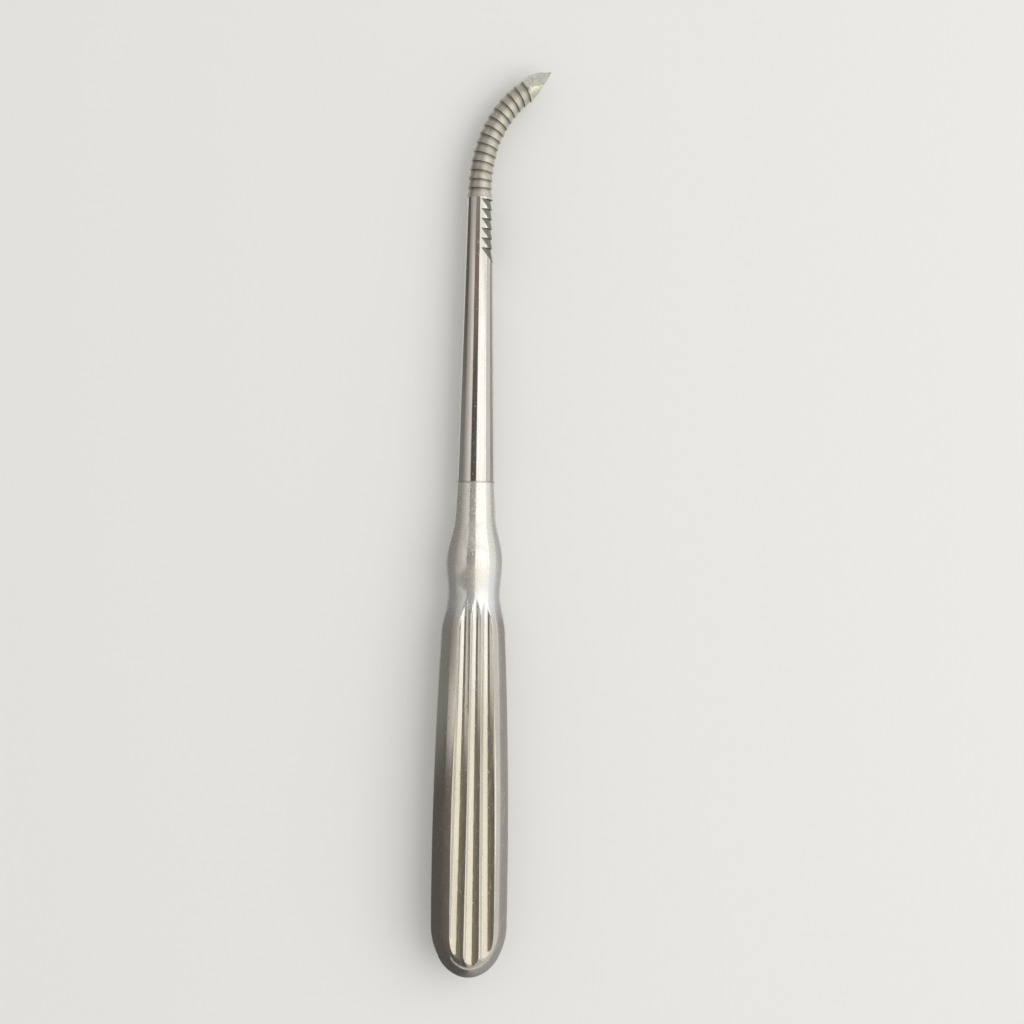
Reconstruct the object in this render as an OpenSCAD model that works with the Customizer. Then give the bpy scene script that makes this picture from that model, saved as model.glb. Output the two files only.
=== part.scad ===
// Surgical rasp with a fluted hollow handle, a tapered shank and a bent rasp end with a three-faced point.
// Pieces are modelled on the tool's own axis: +Z from the butt to the tip, +X towards the inside of the
// bend, -Y up. At the end, lie_down() lays the tool on the crests of its back flutes, tip towards +Y.

/* [Handle] */
// Length of the handle, from the butt to the mouth of the neck
handle_len = 104.2; // [96:0.1:125]
// Greatest radius of the barrel
barrel_r = 8.05; // [7.7:0.05:9]
// Distance from the butt to the thickest place of the barrel
barrel_peak = 20; // [14:1:30]
// How much the barrel's radius falls between there and the shoulder
barrel_fall = 1.33; // [0.8:0.05:1.8]
// Length of the rounded butt
butt_len = 11; // [7:0.5:13]
// Length of the shoulder that falls from the barrel to the waist
shoulder_len = 7.7; // [6:0.1:11]
// Radius at the waist
waist_r = 5.5; // [5.2:0.05:5.8]
// Distance from the waist back to the mouth of the neck
waist_to_mouth = 23.5; // [21:0.1:27]
// Radius of the bulge between the waist and the neck
bulge_r = 5.93; // [5.7:0.05:6.5]
// Distance from the bulge back to the mouth of the neck
bulge_to_mouth = 17; // [15:0.1:19]
// Length of the straight part of the neck
neck_len = 7.2; // [4:0.1:10]
// Radius at the mouth of the neck
mouth_r = 4; // [3.85:0.05:4.4]
// Growth in radius for each millimetre back along the straight part of the neck
neck_slope = 0.047; // [0.02:0.001:0.07]
// Thickness of the pressed sheet
wall = 1; // [0.8:0.05:1.2]
// Thickness of the strip of weld metal between the two halves
seam_t = 0.3; // [0.2:0.05:0.6]

/* [Flutes] */
// Flutes on each face of the handle
flutes = 3; // [1:1:4]
// Height of the flute crests above the axis, at the butt
crest_h_butt = 6.75; // [6.5:0.05:7]
// How far the plane of the front crests passes above the bulge
bulge_clear = 0.02; // [0.01:0.01:0.1]
// How deep the plane of the back crests runs into the bulge, which leaves a small flat to rest on
rest_depth = 0.25; // [0.1:0.01:0.3]
// Distance from crest to crest, at the butt
flute_pitch_butt = 3.36; // [3:0.02:3.6]
// Distance from crest to crest, at the waist
flute_pitch_waist = 2.33; // [2:0.01:2.6]
// Depth of the flutes, at the butt
flute_depth_butt = 0.54; // [0.35:0.02:0.7]
// How far above the waist's own round the middle flute runs out
flute_fade = 0.02; // [0.01:0.01:0.1]
// How much lower than the middle flute the next ones lie at the waist, where the round falls away
flute_drop = 0.4; // [0:0.02:0.5]
// Width of the flat land that is left on each crest
land_w = 0.36; // [0.2:0.02:0.6]

/* [Tang and joints] */
// Length of the spigot
spigot_len = 5; // [3:0.5:8]
// Radius of the tang behind the spigot
tang_r = 2.4; // [1.8:0.05:2.7]
// How far the tang stands out of the back of its bush
tang_stand_out = 1.5; // [0.5:0.1:4]
// Thickness of the solder ring between the shank's shoulder and the mouth of the neck
solder_t = 0.3; // [0.2:0.05:0.5]
// Length of the bush that is trapped in the waist
bush_len = 7; // [5:0.1:9]
// Gap round the spigot, the tang and the bush
braze_gap = 0.05; // [0.03:0.01:0.07]

/* [Shank] */
// Length of the straight shank, from the mouth to the start of the teeth
shank_len = 59.3; // [50:0.1:80]
// Radius of the shank at the mouth
shank_root_r = 3.96; // [3.8:0.02:4.1]
// Radius of the shank at the start of the teeth
shank_tip_r = 2.7; // [2.66:0.02:3]

/* [Ring teeth] */
// Full ring teeth on the bent end
ring_teeth = 13; // [9:1:16]
// Distance from one ring's crest to the next, along the bend
ring_pitch = 1.81; // [1.6:0.01:2.1]
// Radius at the crest of the first ring
crest_r_root = 2.5; // [2.4:0.01:2.6]
// Radius at the crest of the last ring
crest_r_tip = 2.42; // [2.36:0.01:2.5]
// Depth of a tooth, from its crest to its root
tooth_depth = 0.38; // [0.2:0.01:0.5]
// Length of the face that runs out from the first root to the full shank
run_out_len = 1.97; // [1.6:0.01:2.6]
// Angle between the handle and the tip
bend_angle = 51; // [30:1:60]
// Share of the bend that is even along its length; the rest tightens towards the tip
bend_even = 0.65; // [0.3:0.05:1]
// Lean of the tooth rings, over and above the bend, as a share of it
ring_lean = 0.21; // [0:0.01:0.25]

/* [Side teeth] */
// Half teeth on the inner side of the straight shank
side_teeth = 6; // [1:1:9]
// Distance from one side tooth to the next
side_pitch = 2.04; // [1.8:0.01:2.4]
// Distance from the start of the ring teeth back to the first side tooth
side_start = 0.4; // [0.2:0.05:1.5]
// Depth of a side tooth at its steep face
side_depth = 0.56; // [0.4:0.01:0.7]
// Distance that the side cuts' own axis lies beyond the shank's
side_offset = 0.66; // [0.6:0.01:1]
// Rise of a side tooth's long face, for each millimetre back along the shank
side_rise = 0.19; // [0.15:0.01:0.25]

/* [Point] */
// Length of the point, from the last ring to the tip
point_len = 6.9; // [5.5:0.1:8]
// Radius of the point at its base
point_r = 2.36; // [2.3:0.01:2.45]
// Distance back from the tip at which the curved back of the point begins
back_len = 6; // [4:0.1:6]
// Radius of the curved back, along the point
back_r = 9.5; // [9:0.1:12]
// Distance back from the tip at which a face would run out on the full round
face_len = 6.6; // [6:0.1:8.5]
// Direction in which the first face looks, from straight up towards the inside of the bend
face_turn = -28; // [-60:1:60]

/* [Hidden] */
$fn = 96;

steel = [0.78, 0.77, 0.74];
satin = [0.68, 0.67, 0.63];
solder = [0.72, 0.7, 0.62];

// places along the axis
z_mouth = handle_len - solder_t;
z_neck = handle_len - neck_len;
z_bulge = handle_len - bulge_to_mouth;
z_waist = handle_len - waist_to_mouth;
z_shoulder = z_waist - shoulder_len;
z_teeth = handle_len + shank_len;

// fits: the spigot fills the neck's bore, the tang fills the bush's
bore_r = mouth_r - wall;
spigot_r = bore_r - braze_gap;

// room that cutting shapes take past the metal
past = 1;
// room round a piece of the rasp end for the flat that trims it
trim_size = 5 * crest_r_root;

// steps of the curved outline
butt_steps = 12;
barrel_steps = 14;
flare_steps = 9;

function mix(a, b, t) = a + (b - a) * t;
function smooth(t) = t * t * (3 - 2 * t);
function share(z, from, to) = (z - from) / (to - from);

// the handle's outline: a gently bellied barrel, the shoulder, the waist, the bulge and the flared neck
function barrel(z) = barrel_r - barrel_fall * pow(share(z, barrel_peak, z_shoulder), 2);
function neck(z) = mouth_r + neck_slope * (handle_len - z);
function handle_r(z) =
    z < z_shoulder ? barrel(z)
    : z < z_waist ? mix(barrel(z), waist_r, smooth(share(z, z_shoulder, z_waist)))
    : z < z_bulge ? mix(waist_r, bulge_r, smooth(share(z, z_waist, z_bulge)))
    : z < z_neck ? mix(bulge_r, neck(z), smooth(share(z, z_bulge, z_neck)))
    : neck(z);

// stations from one place to the next, without the last
function stations(from, to, steps) = [for (i = [0:steps - 1]) mix(from, to, i / steps)];
outline_z = concat(
    stations(butt_len, z_shoulder, barrel_steps),
    stations(z_shoulder, z_waist, flare_steps),
    stations(z_waist, z_bulge, flare_steps),
    stations(z_bulge, z_neck, flare_steps),
    [z_neck, z_mouth]
);

// half outline of the handle, drawn in by inset
function handle_outline(inset) = concat(
    [[0, inset]],
    [for (i = [1:butt_steps - 1]) let (a = 90 * i / butt_steps) [
        (barrel(butt_len) - inset) * sin(a),
        butt_len - (butt_len - inset) * cos(a)
    ]],
    [for (z = outline_z) [handle_r(z) - inset, z]],
    [[0, z_mouth]]
);

// One face of the handle: crests in a flat plane that slopes in towards the waist, and round flutes that
// converge the same way. Drawn in by inset, it gives the inside of the pressed sheet. The plane of the back
// slopes in a little more than that of the front.
front_slope = (crest_h_butt - bulge_r - bulge_clear) / z_bulge;
back_slope = (crest_h_butt - bulge_r + rest_depth) / z_bulge;
crest_h_waist = crest_h_butt - front_slope * z_waist;
flute_depth_waist = crest_h_waist - waist_r - flute_fade;
function flute_r(pitch, depth) = (pow((pitch - land_w) / 2, 2) + depth * depth) / (2 * depth);

module flute(place, inset) {
    r_butt = flute_r(flute_pitch_butt, flute_depth_butt);
    r_waist = flute_r(flute_pitch_waist, flute_depth_waist);
    start = [place * flute_pitch_butt, crest_h_butt - flute_depth_butt + r_butt, 0];
    bed_waist = crest_h_waist - flute_depth_waist - flute_drop * abs(place);
    end = [place * flute_pitch_waist, bed_waist + r_waist, z_waist];
    run = end - start;
    translate(start)
        rotate([-asin(run.y / norm(run)), atan2(run.x, run.z), 0])
            cylinder(h = norm(run), r1 = r_butt + inset, r2 = r_waist + inset);
}

module fluted_face(inset, slope) {
    rotate([90, 0, 90])
        linear_extrude(height = 2 * barrel_r, center = true)
            polygon([
                [crest_h_butt - inset + slope * past, -past],
                [barrel_r + past, -past],
                [barrel_r + past, z_neck],
                [crest_h_butt - inset - slope * z_neck, z_neck]
            ]);
    for (i = [0:flutes - 1])
        flute(i - (flutes - 1) / 2, inset);
}

module handle_form(inset) {
    difference() {
        rotate_extrude()
            polygon(handle_outline(inset));
        fluted_face(inset, back_slope);
        mirror([0, 1, 0])
            fluted_face(inset, front_slope);
    }
}

module handle_sheet() {
    difference() {
        handle_form(0);
        handle_form(wall);
    }
}

// a flat slice of space across the tool, from y0 to y1
module slice(y0, y1) {
    translate([-barrel_r - past, y0, -past])
        cube([2 * (barrel_r + past), y1 - y0, handle_len + 2 * past]);
}

module front_half() {
    intersection() {
        handle_sheet();
        slice(-barrel_r - past, -seam_t / 2);
    }
}

module back_half() {
    intersection() {
        handle_sheet();
        slice(seam_t / 2, barrel_r + past);
    }
}

module weld_strip() {
    intersection() {
        handle_sheet();
        slice(-seam_t / 2, seam_t / 2);
    }
}

// ring of solder between the shank's shoulder and the mouth of the neck, round the spigot
module solder_ring() {
    translate([0, 0, z_mouth])
        difference() {
            cylinder(h = solder_t, r = mouth_r);
            translate([0, 0, -past])
                cylinder(h = solder_t + 2 * past, r = bore_r);
        }
}

// bush that follows the waist inside the shells, bored for the tang
z_bush = z_waist - bush_len / 2;
module bush() {
    difference() {
        intersection() {
            handle_form(wall + braze_gap);
            translate([0, 0, z_bush])
                cylinder(h = bush_len, r = barrel_r);
        }
        translate([0, 0, z_bush - past])
            cylinder(h = bush_len + 2 * past, r = tang_r + braze_gap);
    }
}

// The bend begins where the run-out face ends, at the first ring tooth. Every tooth goes straight on for
// one pitch, and each is turned further than the one before, faster towards the tip.
function turn_at(k) = let (t = min(k / ring_teeth, 1)) bend_angle * mix(t * t, t, bend_even);
function place_at(k) = k == 0 ? [0, 0, z_teeth + run_out_len]
    : place_at(k - 1) + ring_pitch * [sin(turn_at(k)), 0, cos(turn_at(k))];
function ring_turn(k) = (1 + ring_lean) * (turn_at(k) + turn_at(k + 1)) / 2;
function crest_r(k) = mix(crest_r_root, crest_r_tip, k / ring_teeth);
function root_r(k) = crest_r(k) - tooth_depth;

// how far a tooth runs on past its pitch, into its neighbours
tooth_bury = 0.5;

// space on the handle's side of a ring's steep face
module behind_ring(k) {
    translate(place_at(k))
        rotate([0, ring_turn(k), 0])
            translate([-trim_size / 2, -trim_size / 2, -trim_size])
                cube(trim_size);
}

// One ring tooth: a cone that narrows towards the tip, with its steep face towards the handle
module ring_tooth(k) {
    slope = (crest_r(k) - root_r(k + 1)) / ring_pitch;
    difference() {
        translate(place_at(k))
            rotate([0, turn_at(k + 1), 0])
                translate([0, 0, -tooth_bury])
                    cylinder(
                        h = ring_pitch + 2 * tooth_bury,
                        r1 = crest_r(k) + slope * tooth_bury,
                        r2 = root_r(k + 1) - slope * tooth_bury
                    );
        behind_ring(k);
    }
}

// The point: a round bar whose outer side is curved in, ground to three flat faces that meet at the tip
module point_bar() {
    intersection() {
        translate([0, 0, -trim_size / 2])
            cylinder(h = trim_size / 2 + point_len, r = point_r);
        union() {
            translate([back_r - point_r, 0, point_len - back_len])
                rotate([90, 0, 0])
                    cylinder(h = trim_size, r = back_r, center = true);
            translate([-trim_size / 2, -trim_size / 2, point_len - back_len - trim_size])
                cube(trim_size);
        }
    }
}

module ground_face(turn) {
    rotate([0, 0, turn - 90])
        rotate([0, -atan2(point_r, face_len), 0])
            translate([0, -trim_size / 2, -trim_size])
                cube([trim_size, trim_size, 2 * trim_size]);
}

module point() {
    difference() {
        translate(place_at(ring_teeth))
            rotate([0, bend_angle, 0])
                difference() {
                    point_bar();
                    for (i = [0:2])
                        translate([0, 0, point_len])
                            ground_face(face_turn + 120 * i);
                }
        behind_ring(ring_teeth);
    }
}

// The side teeth are cut round an axis beyond the shank's, so each runs out to nothing at its ends. One
// sawtooth outline, turned about that axis, takes out all of them.
function shank_r(z) = mix(shank_root_r, shank_tip_r, share(z, handle_len, z_teeth));
function side_z(n) = z_teeth - side_start - n * side_pitch;
function side_root(n) = shank_r(side_z(n)) + side_offset - side_depth;
side_clear = shank_root_r + side_offset + past;
side_run_out = (side_depth + past) / side_rise;
module side_cuts() {
    translate([-side_offset, 0, 0])
        rotate_extrude()
            polygon(concat(
                [[side_clear, side_z(0)]],
                [for (n = [0:side_teeth - 2], end = [0, 1])
                    [side_root(n) + end * side_rise * side_pitch, side_z(n + end)]],
                [
                    [side_root(side_teeth - 1), side_z(side_teeth - 1)],
                    [side_root(side_teeth - 1) + side_rise * side_run_out, side_z(side_teeth - 1) - side_run_out],
                    [side_clear, side_z(side_teeth - 1) - side_run_out]
                ]
            ));
}

// The turned blank: the tang, the spigot, the tapered shank and the face that falls to the first root
module blank() {
    z_tang = z_bush - tang_stand_out;
    z_spigot = z_mouth - spigot_len;
    run_out_slope = (shank_tip_r - root_r(0)) / run_out_len;
    z_end = z_teeth + run_out_len + tooth_bury;
    rotate_extrude()
        polygon([
            [0, z_tang],
            [tang_r, z_tang],
            [tang_r, z_spigot],
            [spigot_r, z_spigot],
            [spigot_r, handle_len],
            [shank_root_r, handle_len],
            [shank_tip_r, z_teeth],
            [root_r(0) - run_out_slope * tooth_bury, z_end],
            [0, z_end]
        ]);
}

module forging() {
    difference() {
        blank();
        side_cuts();
    }
    for (k = [0:ring_teeth - 1])
        ring_tooth(k);
    point();
}

// Lays the tool on its back crests, over the middle of its own box. The crests slope in towards the waist,
// so the axis dips towards the tip by the same angle.
dip = atan(back_slope);
tip = place_at(ring_teeth) + point_len * [sin(bend_angle), 0, cos(bend_angle)];
module lie_down() {
    translate([-(tip.x - barrel_r) / 2, -tip.z * cos(dip) / 2, crest_h_butt * cos(dip)])
        rotate([-90 - dip, 0, 0])
            children();
}

module rasp_shank() {
    color(steel)
        lie_down()
            forging();
}

module front_handle_shell() {
    color(satin)
        lie_down()
            front_half();
}

module back_handle_shell() {
    color(satin)
        lie_down()
            back_half();
}

module neck_solder_ring() {
    color(solder)
        lie_down()
            solder_ring();
}

module tang_bush() {
    color("dimgray")
        lie_down()
            bush();
}

module seam_weld() {
    color(solder)
        lie_down()
            weld_strip();
}

rasp_shank();
front_handle_shell();
back_handle_shell();
neck_solder_ring();
tang_bush();
seam_weld();
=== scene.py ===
import bpy
import math
from mathutils import Matrix, Vector


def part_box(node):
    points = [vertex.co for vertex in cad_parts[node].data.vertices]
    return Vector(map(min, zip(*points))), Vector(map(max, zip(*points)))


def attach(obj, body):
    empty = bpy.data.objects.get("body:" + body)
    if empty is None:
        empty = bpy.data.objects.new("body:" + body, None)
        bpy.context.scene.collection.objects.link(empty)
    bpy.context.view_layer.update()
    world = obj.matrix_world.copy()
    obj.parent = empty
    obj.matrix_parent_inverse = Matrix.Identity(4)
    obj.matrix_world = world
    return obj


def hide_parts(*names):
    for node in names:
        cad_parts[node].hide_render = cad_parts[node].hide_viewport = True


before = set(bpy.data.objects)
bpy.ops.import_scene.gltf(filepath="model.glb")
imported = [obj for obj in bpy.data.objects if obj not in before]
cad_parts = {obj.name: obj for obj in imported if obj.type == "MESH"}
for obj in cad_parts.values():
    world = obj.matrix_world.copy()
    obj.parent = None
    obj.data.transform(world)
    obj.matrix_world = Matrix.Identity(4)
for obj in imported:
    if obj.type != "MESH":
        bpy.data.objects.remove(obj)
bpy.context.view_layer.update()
mm = 0.001

# The tool is modelled standing on its butt, in mm: +Z to the tip, +X to the inside of the bend
# and -Y to the front.
handle = {
    "length": 104.2,
    "barrelR": 8.05,
    "barrelPeak": 20.0,
    "barrelFall": 1.33,
    "buttLength": 11.0,
    "shoulder": 73.0,
    "waist": 80.7,
    "waistR": 5.5,
    "bulge": 87.2,
    "bulgeR": 5.93,
    "neck": 97.0,
    "mouthR": 4.0,
    "neckSlope": 0.047,
    "wall": 1.0,
    "seam": 0.3,
    "solder": 0.3,
    "spinSteps": 172,     # corners round the handle, the same number on each face
    "buttSteps": 26,
    "fineStart": 66.0,    # the rows of points lie closer together from here to the waist
    "barrelStep": 1.0,
    "fineStep": 0.3,
    "neckStep": 0.5,
    "smoothAngle": 32,
}
handle["mouth"] = handle["length"] - handle["solder"]
handle["bore"] = handle["mouthR"] - handle["wall"]

flutes = {
    "crestAtButt": 6.75,
    "bulgeClear": 0.02,
    "restDepth": 0.25,
    "pitchAtButt": 3.36,
    "pitchAtWaist": 2.33,
    "depthAtButt": 0.54,
    "fade": 0.02,
    "drop": 0.4,
    "land": 0.36,
    "soften": 0.05,       # how far the crests and the run-outs are rounded over
    "roundSteps": 14,     # columns on each plain side of a face
    "fluteSteps": 14,
    "landSteps": 4,
    "edgeTries": 24,      # halvings in the search for a flute's edge
    "leastReach": 0.55,   # share of its reach that a flute's columns keep at the run-out
    "outerGap": 0.02,     # from the outer flute to the plain side
    "outerShare": 0.9,    # share of the radius within which the flutes' columns stay
    "gather": 0.5,        # how far a flute's columns gather at its edges
}
crestRise = flutes["crestAtButt"] - handle["bulgeR"]
flutes["frontSlope"] = (crestRise - flutes["bulgeClear"]) / handle["bulge"]
flutes["backSlope"] = (crestRise + flutes["restDepth"]) / handle["bulge"]
flutes["crestAtWaist"] = flutes["crestAtButt"] - flutes["frontSlope"] * handle["waist"]
flutes["depthAtWaist"] = flutes["crestAtWaist"] - handle["waistR"] - flutes["fade"]

# how near counts as the same place: the first four in m, the others in mm
slack = {
    "merge": 2e-6,
    "slice": 1e-9,
    "grind": 1e-8,
    "ring": 1e-6,
    "butt": 0.001,
    "point": 0.01,
}

# from the standing tool to the lying one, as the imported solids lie
dip = math.atan(flutes["backSlope"])
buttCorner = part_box("seam_weld")[0]
layDown = Matrix.Translation((
    buttCorner[0] + handle["barrelR"] * mm,
    buttCorner[1],
    flutes["crestAtButt"] * mm * math.cos(dip),
)) @ Matrix.Rotation(-math.pi / 2 - dip, 4, "X")


# small helpers for modelling

def mix(a, b, t):
    return a + (b - a) * t


def smooth(t):
    return t * t * (3 - 2 * t)


def select(*pieces):
    if bpy.context.object and bpy.context.object.mode != "OBJECT":
        bpy.ops.object.mode_set(mode="OBJECT")
    bpy.ops.object.select_all(action="DESELECT")
    for piece in pieces:
        piece.select_set(True)
    if pieces:
        bpy.context.view_layer.objects.active = pieces[0]


def edit(piece, what="SELECT", mode="VERT"):
    select(piece)
    bpy.ops.object.mode_set(mode="EDIT")
    bpy.ops.mesh.select_mode(type=mode)
    bpy.ops.mesh.select_all(action=what)


def pickFaces(piece, test):
    # selects the faces that the test holds for
    edit(piece, "DESELECT", "FACE")
    bpy.ops.object.mode_set(mode="OBJECT")
    for face in piece.data.polygons:
        face.select = test(face)
    bpy.ops.object.mode_set(mode="EDIT")


def copyOf(piece, name):
    twin = piece.copy()
    twin.data = piece.data.copy()
    twin.name = name
    bpy.context.collection.objects.link(twin)
    return twin


def remove(piece):
    select(piece)
    bpy.ops.object.delete()


def join(piece, other):
    select(piece, other)
    bpy.ops.object.join()


def drawOutline(name, points):
    # one vertex, extruded from point to point
    select()
    start = (points[0][0] * mm, 0, points[0][1] * mm)
    bpy.ops.mesh.primitive_plane_add(size=mm, location=start)
    piece = bpy.context.object
    piece.name = name
    bpy.ops.object.transform_apply(location=True, rotation=True, scale=True)
    edit(piece)
    bpy.ops.mesh.merge(type="CENTER")
    for here, after in zip(points, points[1:]):
        step = ((after[0] - here[0]) * mm, 0, (after[1] - here[1]) * mm)
        bpy.ops.mesh.extrude_region_move(TRANSFORM_OT_translate={"value": step})
    return piece


def spinOutline(piece, steps, centre=(0, 0, 0)):
    edit(piece)
    bpy.ops.mesh.spin(steps=steps, angle=math.tau, center=centre, axis=(0, 0, 1))
    bpy.ops.mesh.select_all(action="SELECT")
    bpy.ops.mesh.remove_doubles(threshold=slack["merge"])
    bpy.ops.mesh.normals_make_consistent(inside=False)
    select()


def lieDown(piece, smoothAngle):
    select(piece)
    piece.matrix_world = layDown @ piece.matrix_world
    bpy.ops.object.transform_apply(location=True, rotation=True, scale=True)
    bpy.ops.object.shade_smooth_by_angle(angle=math.radians(smoothAngle))
    select()


# the outline of the handle, and of the hollow in it when there is an inset

def barrelAt(z):
    share = (z - handle["barrelPeak"]) / (handle["shoulder"] - handle["barrelPeak"])
    return handle["barrelR"] - handle["barrelFall"] * share * share


def neckAt(z):
    return handle["mouthR"] + handle["neckSlope"] * (handle["length"] - z)


def bodyAt(z, inset):
    butt = handle["buttLength"]
    if z < butt:
        share = (butt - z) / (butt - inset)
        return (barrelAt(butt) - inset) * math.sqrt(max(1 - share * share, 0))
    if z < handle["shoulder"]:
        return barrelAt(z) - inset
    if z < handle["waist"]:
        share = (z - handle["shoulder"]) / (handle["waist"] - handle["shoulder"])
        return mix(barrelAt(z), handle["waistR"], smooth(share)) - inset
    if z < handle["bulge"]:
        share = (z - handle["waist"]) / (handle["bulge"] - handle["waist"])
        return mix(handle["waistR"], handle["bulgeR"], smooth(share)) - inset
    if z < handle["neck"]:
        share = (z - handle["bulge"]) / (handle["neck"] - handle["bulge"])
        return mix(handle["bulgeR"], neckAt(z), smooth(share)) - inset
    return neckAt(z) - inset


# the pressed faces, front and back: heights above the axis at one place along the handle

def crestAt(z, slope):
    return flutes["crestAtButt"] - slope * z


def fluteAt(z, place):
    # middle, height and radius of one flute's round
    def roundOf(pitch, depth):
        return ((pitch - flutes["land"]) ** 2 / 4 + depth * depth) / (2 * depth)

    share = z / handle["waist"]
    bedAtButt = flutes["crestAtButt"] - flutes["depthAtButt"]
    bedAtWaist = flutes["crestAtWaist"] - flutes["depthAtWaist"] - flutes["drop"] * abs(place)
    roundAtButt = roundOf(flutes["pitchAtButt"], flutes["depthAtButt"])
    roundAtWaist = roundOf(flutes["pitchAtWaist"], flutes["depthAtWaist"])
    middle = place * mix(flutes["pitchAtButt"], flutes["pitchAtWaist"], share)
    height = mix(bedAtButt + roundAtButt, bedAtWaist + roundAtWaist, share)
    return middle, height, mix(roundAtButt, roundAtWaist, share)


def softMin(a, b, k):
    share = max(k - abs(a - b), 0) / k
    return min(a, b) - share * share * k / 4


def faceHeight(x, z, inset, slope):
    body = bodyAt(z, inset)
    height = math.sqrt(max(body * body - x * x, 0))
    height = softMin(height, crestAt(z, slope) - inset, flutes["soften"])
    if z > handle["waist"]:
        return max(height, 0)
    for place in (-1, 0, 1):
        middle, up, radius = fluteAt(z, place)
        across = (radius + inset) ** 2 - (x - middle) ** 2
        if across > 0:
            height = softMin(height, up - math.sqrt(across), flutes["soften"])
    return max(height, 0)


def fluteEdge(z, place, side, slope):
    # where the flute's wall comes out of the crest plane or of the round
    middle, up, radius = fluteAt(z, place)
    body = bodyAt(z, 0)
    reach = math.sqrt(max(radius ** 2 - (up - crestAt(z, slope)) ** 2, 0))
    near, far = 0.0, reach
    for i in range(flutes["edgeTries"]):
        half = (near + far) / 2
        x = middle + side * half
        top = min(math.sqrt(max(body * body - x * x, 0)), crestAt(z, slope))
        if up - math.sqrt(max(radius ** 2 - half ** 2, 0)) < top:
            near = half
        else:
            far = half
    return middle + side * max(near, flutes["leastReach"] * reach)


def columnPlaces(z, slope):
    # x of every column of one face, from the left seam to the right one
    fluted = min(z, handle["waist"])
    edges = [fluteEdge(fluted, place, side, slope)
             for place in (-1, 0, 1) for side in (-1, 1)]
    body = bodyAt(fluted, 0)
    flat = math.sqrt(max(body * body - crestAt(fluted, slope) ** 2, 0))
    outer = max(flat, edges[-1] + flutes["outerGap"])
    edges = [-outer] + edges + [outer]
    radius = bodyAt(z, 0)
    shrink = min(radius / body, 1, flutes["outerShare"] * radius / outer)
    edges = [edge * shrink for edge in edges]
    lean = math.asin(edges[0] / radius)
    places = [radius * math.sin(mix(-math.pi / 2, lean, i / flutes["roundSteps"]))
              for i in range(flutes["roundSteps"])]
    mirrored = [-x for x in reversed(places)]
    for i, (a, b) in enumerate(zip(edges, edges[1:])):
        isFlute = i % 2 == 1
        steps = flutes["fluteSteps"] if isFlute else flutes["landSteps"]
        for j in range(steps):
            share = j / steps
            if isFlute:
                share = mix(share, (1 - math.cos(math.pi * share)) / 2, flutes["gather"])
            places.append(mix(a, b, share))
    return places + [edges[-1]] + mirrored


def handleStations():
    butt, waist, steps = handle["buttLength"], handle["waist"], handle["buttSteps"]
    stops = [butt * (1 - math.cos(math.pi / 2 * i / steps)) for i in range(1, steps)]
    for start, end, step in (
        (butt, handle["fineStart"], handle["barrelStep"]),
        (handle["fineStart"], waist, handle["fineStep"]),
        (waist, handle["mouth"], handle["neckStep"]),
    ):
        count = round((end - start) / step)
        stops += [mix(start, end, i / count) for i in range(count)]
    return stops + [handle["mouth"]]


def handleSkin(name, inset):
    # a spun outline whose columns are then pressed to the flat, fluted faces
    stops = handleStations()
    piece = drawOutline(name, [(0, 0)] + [(bodyAt(z, 0), z) for z in stops])
    spinOutline(piece, handle["spinSteps"])
    columns = handle["spinSteps"] // 2
    butt = handle["buttLength"]
    known = {}
    for vertex in piece.data.vertices:
        z = vertex.co.z / mm
        inner = butt - (butt - z) * (butt - inset) / butt if z < butt else z
        vertex.co.z = inner * mm
        if z < slack["butt"]:
            continue
        turn = math.atan2(vertex.co.y, vertex.co.x)
        column = round((math.pi - abs(turn)) / math.pi * columns)
        side = 1 if turn > 0 else -1
        slope = flutes["backSlope"] if side > 0 else flutes["frontSlope"]
        key = (round(z, 3), side)
        if key not in known:
            known[key] = columnPlaces(z, slope)
        if column in (0, columns):
            vertex.co.x = (-1 if column == 0 else 1) * bodyAt(inner, inset) * mm
            vertex.co.y = 0
            continue
        x = known[key][column] * bodyAt(inner, inset) / bodyAt(z, 0)
        vertex.co.x = x * mm
        vertex.co.y = side * faceHeight(x, inner, inset, slope) * mm
    return piece


def keepSlice(piece, low, high):
    # cuts away what lies outside low and high, across the tool
    edit(piece)
    for place, isHigh in ((high, True), (low, False)):
        if place is not None:
            bpy.ops.mesh.select_all(action="SELECT")
            bpy.ops.mesh.bisect(plane_co=(0, place * mm, 0), plane_no=(0, 1, 0), clear_outer=isHigh,
                                clear_inner=not isHigh, threshold=slack["slice"])
    select()


def sheetPiece(name, outside, inside, low, high):
    # the same slice of both skins, closed round its edge
    piece = copyOf(outside, name)
    inner = copyOf(inside, name + "Inner")
    keepSlice(piece, low, high)
    keepSlice(inner, low, high)
    join(piece, inner)
    edit(piece, "DESELECT", "EDGE")
    bpy.ops.mesh.select_non_manifold(
        extend=False, use_wire=False, use_boundary=True,
        use_multi_face=False, use_non_contiguous=False, use_verts=False)
    bpy.ops.mesh.bridge_edge_loops()
    bpy.ops.mesh.select_all(action="SELECT")
    bpy.ops.mesh.normals_make_consistent(inside=False)
    select()
    return piece


print("handle: pressing the two skins")
outerSkin = handleSkin("outerSkin", 0)
innerSkin = handleSkin("innerSkin", handle["wall"])
halfSeam = handle["seam"] / 2
frontShell = sheetPiece("frontShell", outerSkin, innerSkin, None, -halfSeam)
backShell = sheetPiece("backShell", outerSkin, innerSkin, halfSeam, None)
seamStrip = sheetPiece("seamStrip", outerSkin, innerSkin, -halfSeam, halfSeam)
remove(outerSkin)
remove(innerSkin)
for piece in (frontShell, backShell, seamStrip):
    lieDown(piece, handle["smoothAngle"])

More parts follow.
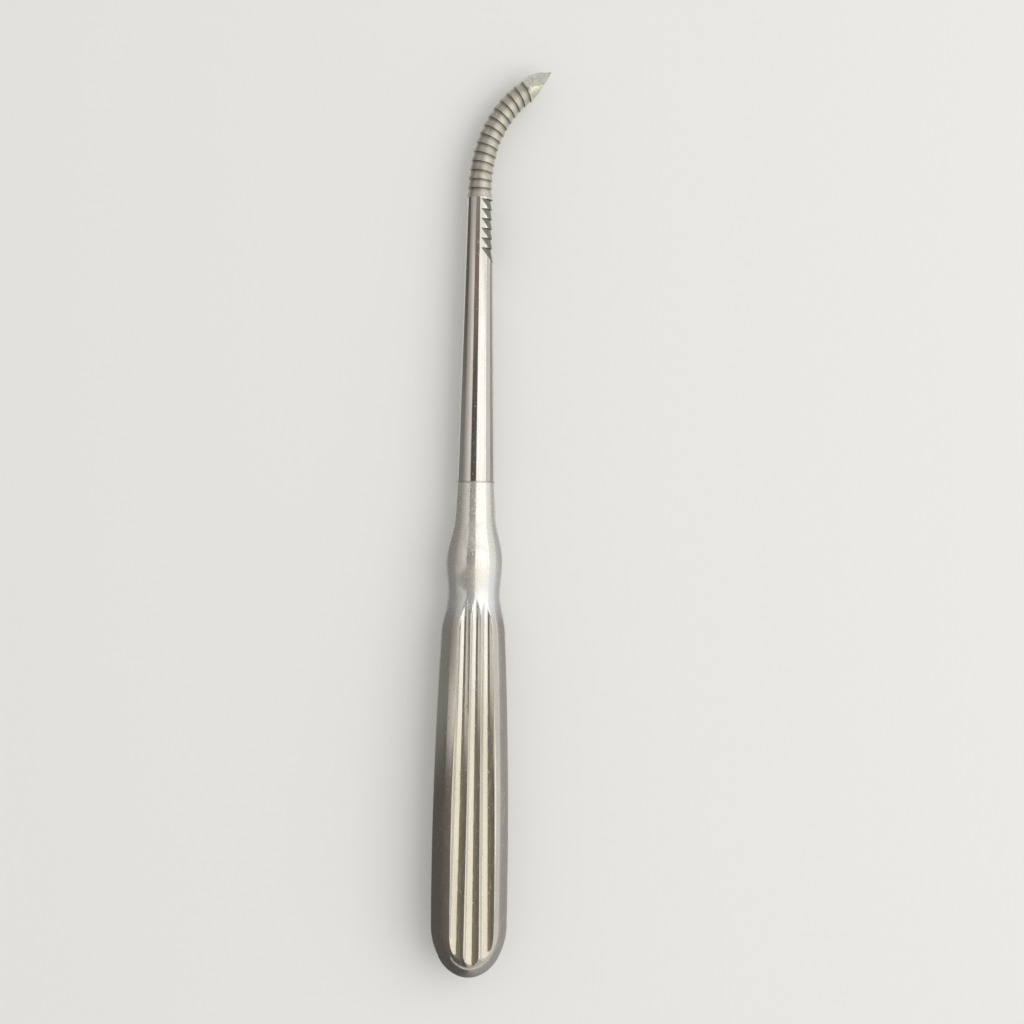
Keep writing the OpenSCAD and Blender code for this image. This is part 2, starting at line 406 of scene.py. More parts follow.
print("handle: ring of solder at the mouth")
solder = {
    "crown": 0.04,        # how far its outside bellies
    # share of its width, and share of the belly that is missing there
    "outside": ((0, 1), (0.2, 0.3), (0.5, 0), (0.8, 0.3), (1, 1)),
    "spinSteps": 128,
    "smoothAngle": 40,
    "steel": (0.74, 0.72, 0.655),
    "dull": (0.60, 0.58, 0.52),
    "roughness": 0.26,
}
low, high = handle["mouth"], handle["length"]
outside = [(handle["mouthR"] - solder["crown"] * missing, mix(low, high, share))
           for share, missing in solder["outside"]]
bore = [(handle["bore"], high), (handle["bore"], low)]
solderRing = drawOutline("solderRing", bore[1:] + outside + bore)
spinOutline(solderRing, solder["spinSteps"])
lieDown(solderRing, solder["smoothAngle"])


# the rasp: one bar that is drawn out loop by loop, from the end of the tang to the point

rasp = {
    "corners": 128,
    "tangEnd": 75.7,
    "tangR": 2.4,
    "tangRound": 0.2,
    "spigotStart": 98.9,
    "spigotR": 2.95,
    "rootR": 3.96,        # shank at the solder
    "tipR": 2.7,          # shank at the teeth
    "shoulderRound": 0.06,
    "shankSteps": 24,
    "shankGather": 1.4,   # its loops lie closer together towards the teeth
    "teethStart": 163.5,
    "rings": 13,
    "pitch": 1.81,
    "crestFirst": 2.5,
    "crestLast": 2.42,
    "toothDepth": 0.38,
    "runOut": 1.97,
    "bend": 51.0,
    "bendEven": 0.65,
    "lean": 0.21,
    "pointLength": 6.9,
    "pointR": 2.36,
    "backLength": 6.0,    # the curved back of the point
    "backR": 9.5,
    "backCuts": 14,
    "faceLength": 6.6,
    "faceTurn": -28.0,
    "edgeRound": 0.05,    # on the crests and in the roots
    "longestEdge": 0.2,   # edges round a ring are shorter than this
    "depthEnd": 0.05,     # how far past the last ring the roots' shade stops
    "past": 1.5,          # how far the point is drawn past its tip before it is ground
    "smoothAngle": 28,
}


def shankAt(z):
    start = handle["length"]
    return mix(rasp["rootR"], rasp["tipR"], (z - start) / (rasp["teethStart"] - start))


def wayOf(turn):
    return Vector((math.sin(turn), 0, math.cos(turn)))


def turnAt(k):
    t = min(k / rasp["rings"], 1)
    return math.radians(rasp["bend"]) * mix(t * t, t, rasp["bendEven"])


def placeAt(k):
    place = Vector((0, 0, rasp["teethStart"] + rasp["runOut"]))
    for i in range(1, k + 1):
        place += rasp["pitch"] * wayOf(turnAt(i))
    return place


def ringTurn(k):
    return (1 + rasp["lean"]) * (turnAt(k) + turnAt(k + 1)) / 2


def crestR(k):
    return mix(rasp["crestFirst"], rasp["crestLast"], k / rasp["rings"])


def raspLoops():
    # middle, turn of the loop's plane, radius, and turn of the bar there
    start, end = handle["length"], rasp["teethStart"]
    tangRound, shoulderRound = rasp["tangRound"], rasp["shoulderRound"]
    stops = [
        (rasp["tangEnd"], rasp["tangR"] - tangRound),
        (rasp["tangEnd"] + tangRound, rasp["tangR"]),
        (rasp["spigotStart"] - tangRound, rasp["tangR"]),
        (rasp["spigotStart"], rasp["spigotR"]),
        (start, rasp["spigotR"]),
        (start, rasp["rootR"] - shoulderRound),
        (start + shoulderRound, rasp["rootR"]),
    ]
    steps = rasp["shankSteps"]
    for i in range(1, steps + 1):
        z = mix(start, end, 1 - (1 - i / steps) ** rasp["shankGather"])
        stops.append((z, shankAt(z)))
    loops = [(Vector((0, 0, z)), 0, radius, 0) for z, radius in stops]
    last, bend = rasp["rings"], math.radians(rasp["bend"])
    for k in range(last + 1):
        loops.append((placeAt(k), ringTurn(k), crestR(k) - rasp["toothDepth"], turnAt(k)))
        if k < last:
            loops.append((placeAt(k), ringTurn(k), crestR(k), turnAt(k + 1)))
    loops.append((placeAt(last), ringTurn(last), rasp["pointR"], bend))
    reach = (rasp["pointLength"] + rasp["past"]) * wayOf(bend)
    loops.append((placeAt(last) + reach, bend, rasp["pointR"], bend))
    return loops


def drawBar(name, loops):
    select()
    middle, _, radius, _ = loops[0]
    bpy.ops.mesh.primitive_circle_add(
        vertices=rasp["corners"], radius=radius * mm, fill_type="NGON", location=middle * mm)
    piece = bpy.context.object
    piece.name = name
    bpy.ops.object.transform_apply(location=True, rotation=True, scale=True)
    edit(piece, "SELECT", "FACE")
    for here, after in zip(loops, loops[1:]):
        width = here[2] / math.cos(here[1] - here[3])
        newWidth = after[2] / math.cos(after[1] - after[3])
        middle = after[0] * mm
        step = (after[0] - here[0]) * mm
        bpy.ops.mesh.extrude_region_move(TRANSFORM_OT_translate={"value": step})
        # with no window rotate turns the other way: plus is back to level, minus on to the new turn
        if here[1]:
            bpy.ops.transform.rotate(value=here[1], orient_axis="Y", center_override=middle)
        stretch = (newWidth / width, after[2] / here[2], 1)
        bpy.ops.transform.resize(value=stretch, center_override=middle)
        if after[1]:
            bpy.ops.transform.rotate(value=-after[1], orient_axis="Y", center_override=middle)
    bpy.ops.mesh.select_all(action="SELECT")
    bpy.ops.mesh.normals_make_consistent(inside=False)
    select()
    return piece


print("rasp: drawing the bar and its rings")
raspBar = drawBar("raspBar", raspLoops())

print("rasp: grinding the point")
bendTurn = Matrix.Rotation(math.radians(rasp["bend"]), 3, "Y")
pointBase = placeAt(rasp["rings"]) * mm
lastRingWay = wayOf(ringTurn(rasp["rings"]))


def pastRings(place, gap):
    return (place - pointBase).dot(lastRingWay) > gap * mm


# place and way of each ground plane: many small ones for the curved back, then the three faces
planes = []
backMiddle = Vector((rasp["backR"] - rasp["pointR"], 0, rasp["pointLength"] - rasp["backLength"]))
backSweep = math.asin(rasp["backLength"] / rasp["backR"])
for i in range(rasp["backCuts"]):
    a = backSweep * (i + 0.5) / rasp["backCuts"]
    way = Vector((-math.cos(a), 0, math.sin(a)))
    planes.append((backMiddle + rasp["backR"] * way, way))
slant = math.atan2(rasp["pointR"], rasp["faceLength"])
for i in range(3):
    spin = math.radians(rasp["faceTurn"] + 120 * i - 90)
    planes.append((Vector((0, 0, rasp["pointLength"])), Vector((
        math.cos(slant) * math.cos(spin), math.cos(slant) * math.sin(spin), math.sin(slant)))))
for place, way in planes:
    pickFaces(raspBar, lambda face: pastRings(face.center, -slack["point"]))
    bpy.ops.mesh.bisect(plane_co=pointBase + bendTurn @ place * mm, plane_no=bendTurn @ way,
                        use_fill=True, clear_outer=True, threshold=slack["grind"])
select()

# the edges of the rings are dull from blasting
edit(raspBar, "DESELECT", "EDGE")
bpy.ops.object.mode_set(mode="OBJECT")
ringPlanes = [(placeAt(k) * mm, wayOf(ringTurn(k))) for k in range(rasp["rings"] + 1)]
for edge in raspBar.data.edges:
    a, b = (raspBar.data.vertices[i].co for i in edge.vertices)
    if (a - b).length < rasp["longestEdge"] * mm:
        for place, way in ringPlanes:
            if max(abs((a - place).dot(way)), abs((b - place).dot(way))) < slack["ring"]:
                edge.select = True
bpy.ops.object.mode_set(mode="EDIT")
bpy.ops.mesh.bevel(offset=rasp["edgeRound"] * mm, segments=2, profile=0.5, affect="EDGES",
                   clamp_overlap=True)
select()
print("rasp: faces", len(raspBar.data.polygons))

print("rasp: cutting the side teeth")
sideTeeth = {
    "count": 6,
    "pitch": 2.04,
    "start": 0.4,         # from the ring teeth back to the first one
    "depth": 0.56,
    "offset": 0.66,       # how far the cutter's own axis lies beyond the bar's
    "rise": 0.19,
    "clear": 5.6,
    "past": 1.0,          # how far the last cut runs on past the shank's side
    "cutterSteps": 160,
}


def sideCutter():
    pitch, rise, count = sideTeeth["pitch"], sideTeeth["rise"], sideTeeth["count"]
    places = [rasp["teethStart"] - sideTeeth["start"] - n * pitch for n in range(count + 1)]
    points = [(sideTeeth["clear"], places[0])]
    for n in range(count - 1):
        root = shankAt(places[n]) - sideTeeth["depth"]
        points += [(root, places[n]), (root + rise * pitch, places[n + 1])]
    root = shankAt(places[count - 1]) - sideTeeth["depth"]
    runOut = (sideTeeth["depth"] + sideTeeth["past"]) / rise
    points += [
        (root, places[count - 1]),
        (root + rise * runOut, places[count - 1] - runOut),
        (sideTeeth["clear"], places[count - 1] - runOut),
        points[0],
    ]
    cutter = drawOutline("sideCutter", points)
    spinOutline(cutter, sideTeeth["cutterSteps"], (-sideTeeth["offset"] * mm, 0, 0))
    return cutter


# the rasp's finishes: polished, blasted, cut with painted shade, and ground
raspFinishes = ("shankPolish", "blastedRings", "shadedCutTeeth", "groundPoint")
for finish in raspFinishes:
    raspBar.data.materials.append(bpy.data.materials.new(finish))
for face in raspBar.data.polygons:
    if pastRings(face.center, slack["point"]):
        face.material_index = raspFinishes.index("groundPoint")
    elif face.center.z > rasp["teethStart"] * mm:
        face.material_index = raspFinishes.index("blastedRings")

cutter = sideCutter()
cutter.data.materials.append(bpy.data.materials["shadedCutTeeth"])
select(raspBar)
cut = raspBar.modifiers.new("Side teeth", "BOOLEAN")
cut.operation = "DIFFERENCE"
cut.object = cutter
cut.solver = "EXACT"
cut.material_mode = "TRANSFER"
bpy.ops.object.modifier_apply(modifier=cut.name)
remove(cutter)

# an edge between two finishes stays crisp
edit(raspBar, "DESELECT", "EDGE")
bpy.ops.object.mode_set(mode="OBJECT")
finishes = {}
for face in raspBar.data.polygons:
    for key in face.edge_keys:
        finishes.setdefault(key, set()).add(face.material_index)
for edge in raspBar.data.edges:
    edge.use_edge_sharp = len(finishes.get(edge.key, ())) > 1

# how deep each place lies between two rings, for the painted shade in the roots
depths = raspBar.data.attributes.new("toothDepth", "FLOAT", "POINT")
middles = [placeAt(k) for k in range(rasp["rings"] + 2)]
for vertex in raspBar.data.vertices:
    place = vertex.co / mm
    depth = 0
    if place.z > rasp["teethStart"] and not pastRings(vertex.co, rasp["depthEnd"]):
        nearest = math.inf
        for k, (start, end) in enumerate(zip(middles, middles[1:])):
            way = (end - start).normalized()
            least = -rasp["runOut"] if k == 0 else 0
            along = min(max((place - start).dot(way), least), rasp["pitch"])
            nearest = min(nearest, (place - start - way * along).length)
        depth = min(max((rasp["crestFirst"] - nearest) / rasp["toothDepth"], 0), 1)
    depths.data[vertex.index].value = depth
raspBar.name = "raspShank"
lieDown(raspBar, rasp["smoothAngle"])


# materials, in mm of the object's own place

class Wire:
    # a socket that values can be worked out from
    def __init__(self, tree, socket):
        self.tree = tree
        self.socket = socket

    def math(self, operation, *values):
        node = self.tree.nodes.new("ShaderNodeMath")
        node.operation = operation
        for socket, value in zip(node.inputs, values):
            plug(self.tree, socket, value)
        return Wire(self.tree, node.outputs[0])

    def __add__(self, other):
        return self.math("ADD", self, other)

    def __radd__(self, other):
        return self.math("ADD", other, self)

    def __sub__(self, other):
        return self.math("SUBTRACT", self, other)

    def __rsub__(self, other):
        return self.math("SUBTRACT", other, self)

    def __mul__(self, other):
        return self.math("MULTIPLY", self, other)

    def __rmul__(self, other):
        return self.math("MULTIPLY", other, self)

    def __truediv__(self, other):
        return self.math("DIVIDE", self, other)

    def clamp(self):
        return self.math("MINIMUM", self.math("MAXIMUM", self, 0.0), 1.0)

    def ramp(self, low, high):
        # 0 up to low, 1 from high on and smooth between, or falling where low is the larger
        share = ((self - low) / (high - low)).clamp()
        return share * share * (3 - 2 * share)


def plug(tree, socket, value):
    if isinstance(value, Wire):
        tree.links.new(value.socket, socket)
    else:
        socket.default_value = value


class Finish:
    # a material's nodes
    def __init__(self, name):
        self.material = bpy.data.materials.get(name) or bpy.data.materials.new(name)
        self.material.use_nodes = True
        self.tree = self.material.node_tree
        self.tree.nodes.clear()
        where = self.node("ShaderNodeTexCoord", output="Object")
        self.place = self.node(
            "ShaderNodeVectorMath", {"operation": "SCALE"}, {0: where, "Scale": 1 / mm})
        apart = self.node("ShaderNodeSeparateXYZ", sockets={0: self.place}).socket.node
        self.x, self.y, self.z = (Wire(self.tree, output) for output in apart.outputs)

    def node(self, kind, settings=None, sockets=None, output=0):
        node = self.tree.nodes.new(kind)
        for key, value in (settings or {}).items():
            setattr(node, key, value)
        for key, value in (sockets or {}).items():
            plug(self.tree, node.inputs[key], value)
        return Wire(self.tree, node.outputs[output]) if node.outputs else None

    def stretched(self, across, along, turn=0.0, tilt=0.0):
        # the place, turned about the height and drawn out along the tool
        return self.node("ShaderNodeMapping", {"vector_type": "POINT"}, {
            "Vector": self.place,
            "Rotation": (tilt, 0.0, turn),
            "Scale": (across, along, across),
        })

    def noise(self, vector, scale, detail=2.0, rough=0.5):
        return self.node("ShaderNodeTexNoise", sockets={
            "Vector": vector, "Scale": scale, "Detail": detail, "Roughness": rough})

    def blend(self, factor, first, second):
        node = self.node("ShaderNodeMix", {"data_type": "RGBA"}, {0: factor}, 2).socket.node
        for index, color in ((6, first), (7, second)):
            plug(self.tree, node.inputs[index], color if isinstance(color, Wire) else (*color, 1))
        return Wire(self.tree, node.outputs[2])

    def bump(self, height, distance, strength):
        return self.node("ShaderNodeBump", sockets={
            "Height": height, "Distance": distance * mm, "Strength": strength})

    def shader(self, **sockets):
        return self.node("ShaderNodeBsdfPrincipled", sockets={
            key.replace("_", " "): value for key, value in sockets.items()})

    def surface(self, haze=None, hazeRoughness=0.5, **sockets):
        # haze is the share of a second, broad gloss over the sharp one
        shader = self.shader(**sockets)
        if haze is not None:
            sockets["Roughness"] = hazeRoughness
            shader = self.node("ShaderNodeMixShader", sockets={
                0: haze, 1: shader, 2: self.shader(**sockets)})
        self.node("ShaderNodeOutputMaterial", sockets={"Surface": shader})
        return self.material


polish = {
    "steel": (0.80, 0.775, 0.74),
    "dull": (0.70, 0.665, 0.625),
    "roughness": 0.06,
    "streakRoughness": 0.05,
    "haze": 0.05,
    "waveDepth": 0.02,
}


def shankPolish():
    m = Finish("shankPolish")
    streaks = m.noise(m.stretched(2.6, 0.05), 1.0, 4.0, 0.6).ramp(0.35, 0.75)
    specks = m.noise(m.stretched(2.4, 1.2), 1.0, 2.0, 0.6).ramp(0.60, 0.72)
    patches = m.noise(m.stretched(0.35, 0.12), 1.0, 2.0).ramp(0.4, 0.65)
    waves = m.noise(m.stretched(0.5, 0.05), 1.0, 2.0) * 0.7 + streaks * 0.06
    return m.surface(
        haze=polish["haze"] + specks * 0.3 + streaks * 0.06,
        Base_Color=m.blend(streaks * 0.5 + patches * 0.3, polish["steel"], polish["dull"]),
        Metallic=1.0,
        Roughness=polish["roughness"] + streaks * polish["streakRoughness"],
        Normal=m.bump(waves, polish["waveDepth"], 0.5),
    )


blasted = {
    "high": (0.65, 0.63, 0.565),
    "low": (0.44, 0.425, 0.375),
    # painted shade: the colour that the roots between the rings are darkened to
    "root": (0.23, 0.21, 0.165),
    "roughness": 0.39,
    "grain": 0.02,
}


def blastedRings():
    m = Finish("blastedRings")
    depth = m.node("ShaderNodeAttribute", {"attribute_name": "toothDepth"}, output="Fac")
    grain = m.noise(m.place, 7.0, 3.0, 0.65)
    cloud = m.noise(m.place, 0.6, 3.0)
    wear = cloud.ramp(0.35, 0.7) * 0.5 + grain.ramp(0.4, 0.7) * 0.4
    base = m.blend(wear, blasted["high"], blasted["low"])
    # painted shade, darkest deep in the roots between the rings
    base = m.blend(depth.ramp(0.55, 0.95) * 0.75, base, blasted["root"])
    return m.surface(
        Base_Color=base,
        Metallic=1.0,
        Roughness=blasted["roughness"] + grain * 0.16 + depth * 0.05,
        Normal=m.bump(grain, blasted["grain"], 0.8),
    )


# the cut faces of the side teeth are painted dark, as painted shade in the notches, with grain over
# it
shadedCutSteel = {
    "pale": (0.30, 0.30, 0.255),
    "dark": (0.19, 0.19, 0.16),
    "roughness": 0.36,
    "markDepth": 0.01,
}


def shadedCutTeeth():
    m = Finish("shadedCutTeeth")
    marks = m.noise(m.stretched(1.0, 9.0), 1.0, 2.0)
    grain = m.noise(m.place, 6.0, 2.0)
    return m.surface(
        # painted shade: the cut faces are far darker than the rest of the steel
        Base_Color=m.blend(grain.ramp(0.3, 0.75), shadedCutSteel["pale"], shadedCutSteel["dark"]),
        Metallic=1.0,
        Roughness=shadedCutSteel["roughness"] + marks * 0.14,
        Normal=m.bump(marks + grain * 0.5, shadedCutSteel["markDepth"], 0.6),
    )


groundSteel = {
    "pale": (0.77, 0.75, 0.68),
    "dark": (0.53, 0.515, 0.45),
    "roughness": 0.26,
    "lineDepth": 0.02,
    "lineTurn": math.radians(40),
}


def groundPoint():
    m = Finish("groundPoint")
    grain = m.noise(m.place, 1.9, 4.0, 0.6)
    lines = m.noise(m.stretched(7.0, 0.8, groundSteel["lineTurn"]), 1.0, 3.0)
    return m.surface(
        Base_Color=m.blend(grain.ramp(0.40, 0.70), groundSteel["pale"], groundSteel["dark"]),
        Metallic=1.0,
        Roughness=groundSteel["roughness"] + grain * 0.1,
        Normal=m.bump(grain + lines * 0.5, groundSteel["lineDepth"], 0.15),
    )


shellSteel = {
    "steel": (0.765, 0.74, 0.69),
    "dull": (0.63, 0.60, 0.545),
    "roughness": 0.12,
}
seamSteel = {
    "steel": (0.75, 0.725, 0.675),
    "dull": (0.61, 0.58, 0.525),
    "roughness": 0.15,
}
handleWear = {
    # turn, tilt and fineness of each run of scratches
    "scratches": ((0.1, 0.2, 5.0), (-0.5, 0.1, 4.0), (1.2, -0.3, 6.0), (0.75, 0.5, 4.5)),
    "scratchHaze": 0.45,
    "nickHaze": 0.5,
    "depth": 0.03,
}
neckSatin = {
    "from": -20.0,        # along the tool: polished below, satin above
    "to": -14.5,
    "waist": (-13, -7),   # where the waist's steel turns to the neck's
    "waistHaze": (-6, -10),
    "mouth": 9.0,
    "roughness": 0.11,
    "hazeRoughness": 0.5,
    "steel": (0.93, 0.92, 0.885),
    "waistSteel": (0.90, 0.92, 0.955),
}


def handleFinish(name, steel, dull, roughness):
    m = Finish(name)
    satin = (m.y + m.noise(m.place, 0.5, 2.0) * 3.0).ramp(neckSatin["from"], neckSatin["to"])
    grain = m.noise(m.place, 3.6, 3.0, 0.65)
    cloud = m.noise(m.stretched(0.35, 0.06), 1.0, 3.0)
    scratches = 0.0
    for turn, tilt, fine in handleWear["scratches"]:
        lines = m.noise(m.stretched(fine, 0.22, turn, tilt), 1.0, 1.0)
        scratches = lines.ramp(0.68, 0.74) + scratches
    scratches = scratches.clamp()
    nicks = m.noise(m.stretched(1.8, 1.1), 1.0, 1.0).ramp(0.69, 0.73)
    dullness = cloud.ramp(0.35, 0.7) * 0.5 + nicks * 0.2 + satin * grain.ramp(0.45, 0.7) * 0.3
    waves = m.noise(m.stretched(0.4, 0.04), 1.0, 2.0)
    height = waves * 0.8 + satin * grain * 0.18 - nicks * 0.35 - scratches * 0.05
    satinSteel = m.blend(m.y.ramp(*neckSatin["waist"]), neckSatin["waistSteel"], neckSatin["steel"])
    frost = 0.20 + m.y.ramp(neckSatin["from"], neckSatin["mouth"]) * 0.15
    frost = frost + grain.ramp(0.35, 0.65) * 0.3 + m.y.ramp(*neckSatin["waistHaze"]) * 0.22
    haze = 0.05 + cloud * 0.06 + scratches * handleWear["scratchHaze"]
    haze = haze + nicks * handleWear["nickHaze"] + satin * frost
    return m.surface(
        haze=haze.clamp(),
        hazeRoughness=neckSatin["hazeRoughness"],
        Base_Color=m.blend(satin * 0.8, m.blend(dullness.clamp(), steel, dull), satinSteel),
        Metallic=1.0,
        Roughness=roughness * (1 - satin) + neckSatin["roughness"] * satin,
        Normal=m.bump(height, handleWear["depth"], 0.6),
    )


def solderDull():
    m = Finish("solderDull")
    grain = m.noise(m.place, 6.0, 3.0)
    return m.surface(
        Base_Color=m.blend(grain.ramp(0.35, 0.7), solder["steel"], solder["dull"]),
        Metallic=1.0,
        Roughness=solder["roughness"] + grain * 0.15,
        Normal=m.bump(grain, 0.02, 0.8),
    )


bushSteel = {
    "pale": (0.52, 0.52, 0.51),
    "dark": (0.36, 0.36, 0.35),
    "roughness": 0.3,
    "turnedDepth": 0.02,
}


def turnedBush():
    m = Finish("turnedBush")
    rings = m.node(
        "ShaderNodeTexWave",
        {"wave_type": "BANDS", "bands_direction": "Y", "wave_profile": "SIN"},
        {"Vector": m.place, "Scale": 1.6, "Distortion": 0.3}, "Fac")
    return m.surface(
        Base_Color=m.blend(rings * 0.5, bushSteel["pale"], bushSteel["dark"]),
        Metallic=1.0,
        Roughness=bushSteel["roughness"] + rings * 0.1,
        Normal=m.bump(rings, bushSteel["turnedDepth"], 0.5),
    )


print("materials")
for build in (shankPolish, blastedRings, shadedCutTeeth, groundPoint):
    build()
steelShell = handleFinish("handlePolish", **shellSteel)
steelSeam = handleFinish("seamPolish", **seamSteel)
for piece, material in (
    (frontShell, steelShell),
    (backShell, steelShell),
    (seamStrip, steelSeam),
    (solderRing, solderDull()),
):
    piece.data.materials.clear()
    piece.data.materials.append(material)

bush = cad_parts["tang_bush"]
bushFinish = turnedBush()
for slot in bush.material_slots:
    slot.material = bushFinish

for piece, node, slot in (
    (raspBar, "rasp_shank", "shank_steel"),
    (frontShell, "front_handle_shell", "handle_steel"),
    (backShell, "back_handle_shell", "handle_steel"),
    (seamStrip, "seam_weld", "weld_metal"),
    (solderRing, "neck_solder_ring", "silver_solder"),
):
    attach(piece, "root")
    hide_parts(node)


# the studio

studio = {
    "floorSize": 6.0,
    "floorTint": (0.86, 0.86, 0.855),
    "floorDrop": 0.02,    # in mm, below the tool
    "worldGrey": (0.70, 0.695, 0.67),
    "lampSize": (0.6, 0.9),
    "lampHeight": 0.60,
    "lampAside": 0.42,
    "lampAhead": 0.05,
    "lampTint": (1.0, 0.985, 0.95),
    "lampWatts": 1.95,
}


def card(name, settings, paint):
    # a plain glowing sheet, no lamp, that only shows in reflections, painted with the light and
    # shade that the steel mirrors: level, or upright where its corners share x or y
    select()
    low, high = settings["low"], settings["high"]
    size = [b - a for a, b in zip(low, high)]
    middle = [(a + b) / 2 * mm for a, b in zip(low, high)]
    turn, reach = (0, 0, 0), (size[0], size[1], 1)
    if size[0] == 0:
        turn, reach = (0, math.pi / 2, 0), (size[2], size[1], 1)
    if size[1] == 0:
        turn, reach = (math.pi / 2, 0, 0), (size[0], size[2], 1)
    bpy.ops.mesh.primitive_plane_add(size=mm, location=middle, rotation=turn)
    sheet = bpy.context.object
    sheet.name = name
    sheet.scale = reach
    bpy.ops.object.transform_apply(location=True, rotation=True, scale=True)
    m = Finish(name)
    sheet.data.materials.append(m.surface(
        Base_Color=(0, 0, 0, 1), Specular_IOR_Level=0.0, Roughness=1.0,
        Emission_Color=paint(m, settings), Emission_Strength=1.0))
    sheet.visible_camera = False
    sheet.visible_shadow = False
    sheet.visible_diffuse = False


# each card's corners and the stretches over which it changes, all in mm

darkAbove = {
    "low": (-330, -450, 450),
    "high": (-12, 600, 450),
    "overHandle": (0.22, 0.195, 0.148),
    "overShank": (0.075, 0.07, 0.07),
    "overTeeth": (0.20, 0.15, 0.13),
    "beyond": (0.27, 0.265, 0.235),
    "toShank": (-60, -10),
    "toTeeth": (90, 120),
    "toBeyond": (145, 185),
}
paleAbove = {
    "low": (-12, -450, 450),
    "high": (690, 600, 450),
    "atButt": (1.06, 0.99, 0.81),
    "main": (1.26, 1.26, 1.235),
    "besideTeeth": (0.56, 0.54, 0.50),
    "aside": (0.62, 0.60, 0.54),
    "toMain": (-95, -50),
    "toAside": (400, 720),
}
leftWall = {
    "low": (-330, -450, 1.5),
    "high": (-330, 600, 450),
    "footLow": (0.10, 0.09, 0.085),
    "footHigh": (0.17, 0.145, 0.12),
    "headLow": (0.23, 0.22, 0.21),
    "headHigh": (0.80, 0.765, 0.71),
    "besideTeeth": (0.27, 0.245, 0.235),
    "toHead": (-96, -66),
    "brightFrom": 300,    # the height at which it is brightest
    "lift": 110,          # it is brighter by this much more height over the handle
    "toLift": (-32, -50),
}
footWall = {
    "low": (-330, -450, 45),
    "high": (300, -450, 450),
    "left": (0.10, 0.095, 0.085),
    "right": (0.50, 0.49, 0.46),
    "toRight": (-60, 60),
}
leftSkirting = {
    "low": (-330, -450, 1.5),
    "high": (-12.5, 260, 1.5),
    "byButt": (0.10, 0.095, 0.09),
    "byWaist": (0.22, 0.215, 0.205),
    "byShank": (0.11, 0.10, 0.09),
    "toWaist": (-62, -38),
    "toShank": (15, 55),
}
rightSkirting = {
    "low": (6.5, -450, 1.5),
    "high": (130, 62, 1.5),
    "left": (0.36, 0.355, 0.35),
    "right": (0.64, 0.63, 0.60),
    "toRight": (10, 130),
}
footSkirting = {
    "low": (-12.5, -450, 1.5),
    "high": (6.5, -93.5, 1.5),
    "left": (0.10, 0.095, 0.09),
    "right": (0.34, 0.335, 0.33),
    "toRight": (-10, 6),
}
besideTeeth = {
    # the stretch that the top of the shank and the rings mirror, where the glowing sheets are
    # painted dimmer as a painted reflection
    "in": (125, 165),
    "out": (215, 170),
    "share": 0.5,
}


def besideShare(m):
    stretch = m.y.ramp(*besideTeeth["in"]) * m.y.ramp(*besideTeeth["out"])
    return stretch * besideTeeth["share"]


def paintDark(m, tints):
    near = m.blend(m.y.ramp(*tints["toShank"]), tints["overHandle"], tints["overShank"])
    far = m.blend(m.y.ramp(*tints["toBeyond"]), tints["overTeeth"], tints["beyond"])
    return m.blend(m.y.ramp(*tints["toTeeth"]), near, far)


def paintPale(m, tints):
    near = m.blend(m.y.ramp(*tints["toMain"]), tints["atButt"], tints["main"])
    near = m.blend(besideShare(m), near, tints["besideTeeth"])
    return m.blend(m.x.ramp(*tints["toAside"]) * 0.6, near, tints["aside"])


def paintWall(m, tints):
    height = (m.z + m.y.ramp(*tints["toLift"]) * tints["lift"]) / tints["brightFrom"]
    height = height.clamp()
    foot = m.blend(height, tints["footLow"], tints["footHigh"])
    head = m.blend(height, tints["headLow"], tints["headHigh"])
    head = m.blend(besideShare(m), head, tints["besideTeeth"])
    return m.blend(m.y.ramp(*tints["toHead"]), foot, head)


def paintLeft(m, tints):
    near = m.blend(m.y.ramp(*tints["toWaist"]), tints["byButt"], tints["byWaist"])
    return m.blend(m.y.ramp(*tints["toShank"]), near, tints["byShank"])


def paintAcross(m, tints):
    return m.blend(m.x.ramp(*tints["toRight"]), tints["left"], tints["right"])


print("studio")
select()
bpy.ops.mesh.primitive_plane_add(
    size=studio["floorSize"], location=(0, 0, -studio["floorDrop"] * mm))
floor = bpy.context.object
floor.name = "paleFloor"
bpy.ops.object.transform_apply(location=True, rotation=True, scale=True)
floor.data.materials.append(Finish("paleFloor").surface(
    Base_Color=(*studio["floorTint"], 1), Roughness=0.9, Specular_IOR_Level=0.0))
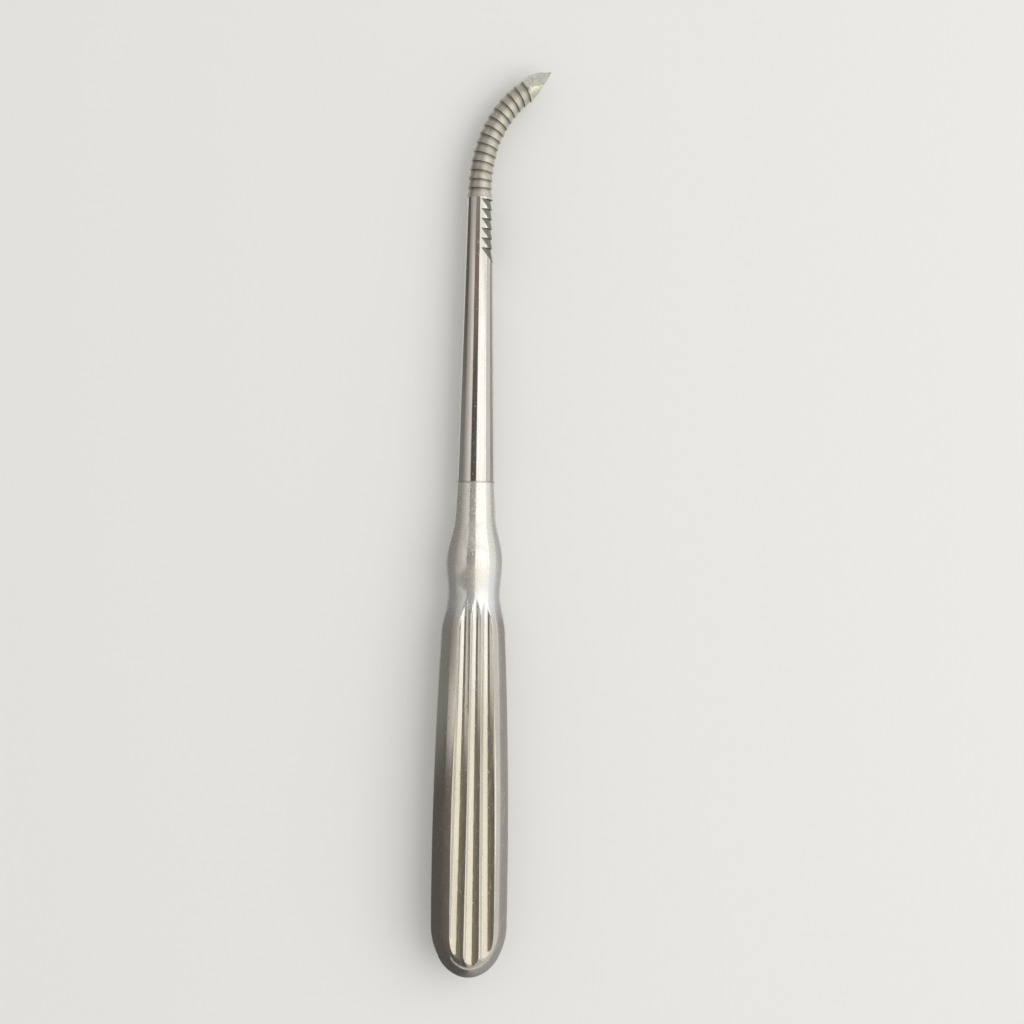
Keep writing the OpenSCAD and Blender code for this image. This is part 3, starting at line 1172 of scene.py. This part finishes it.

# the room that the steel mirrors, as glowing sheets painted with its reflections
card("darkAbove", darkAbove, paintDark)
card("paleAbove", paleAbove, paintPale)
card("leftWall", leftWall, paintWall)
card("footWall", footWall, paintAcross)
card("leftSkirting", leftSkirting, paintLeft)
card("rightSkirting", rightSkirting, paintAcross)
card("footSkirting", footSkirting, paintAcross)

select()
bpy.ops.object.light_add(
    type="AREA", location=(studio["lampAside"], studio["lampAhead"], studio["lampHeight"]))
lamp = bpy.context.object
lamp.name = "softLamp"
lamp.data.shape = "RECTANGLE"
lamp.data.size, lamp.data.size_y = studio["lampSize"]
lamp.data.energy = studio["lampWatts"]
lamp.data.color = studio["lampTint"]
lamp.rotation_euler = (0, math.atan2(studio["lampAside"], studio["lampHeight"]), 0)

world = bpy.data.worlds.new("paleRoom")
bpy.context.scene.world = world
world.use_nodes = True
world.node_tree.nodes["Background"].inputs["Color"].default_value = (*studio["worldGrey"], 1)
world.node_tree.nodes["Background"].inputs["Strength"].default_value = 1.0

view = {
    "target": (4.4, 2.645, 6.0),
    "distance": 370.0,
    "left": 6.5,          # degrees from straight above
    "ahead": 1.16,        # and on towards the tip
    "roll": 0.98,         # the tool leans to the right of upright
    "lens": 61.9,
    "sensor": 36,
    "clipStart": 0.01,
}
target = Vector(view["target"]) * mm
lean, ahead, roll = (math.radians(view[key]) for key in ("left", "ahead", "roll"))
back = Vector((
    -math.sin(lean) * math.cos(ahead), math.sin(ahead), math.cos(lean) * math.cos(ahead)))
up = Vector((-math.sin(roll), math.cos(roll), 0))
right = up.cross(back).normalized()
up = back.cross(right)
bpy.ops.object.camera_add()
camera = bpy.context.object
camera.name = "photoCamera"
camera.matrix_world = Matrix.Translation(target + back * view["distance"] * mm) @ Matrix((
    (right.x, up.x, back.x), (right.y, up.y, back.y), (right.z, up.z, back.z))).to_4x4()
camera.data.lens = view["lens"]
camera.data.sensor_width = view["sensor"]
camera.data.clip_start = view["clipStart"]
bpy.context.scene.camera = camera
bpy.context.scene.view_settings.view_transform = "Standard"
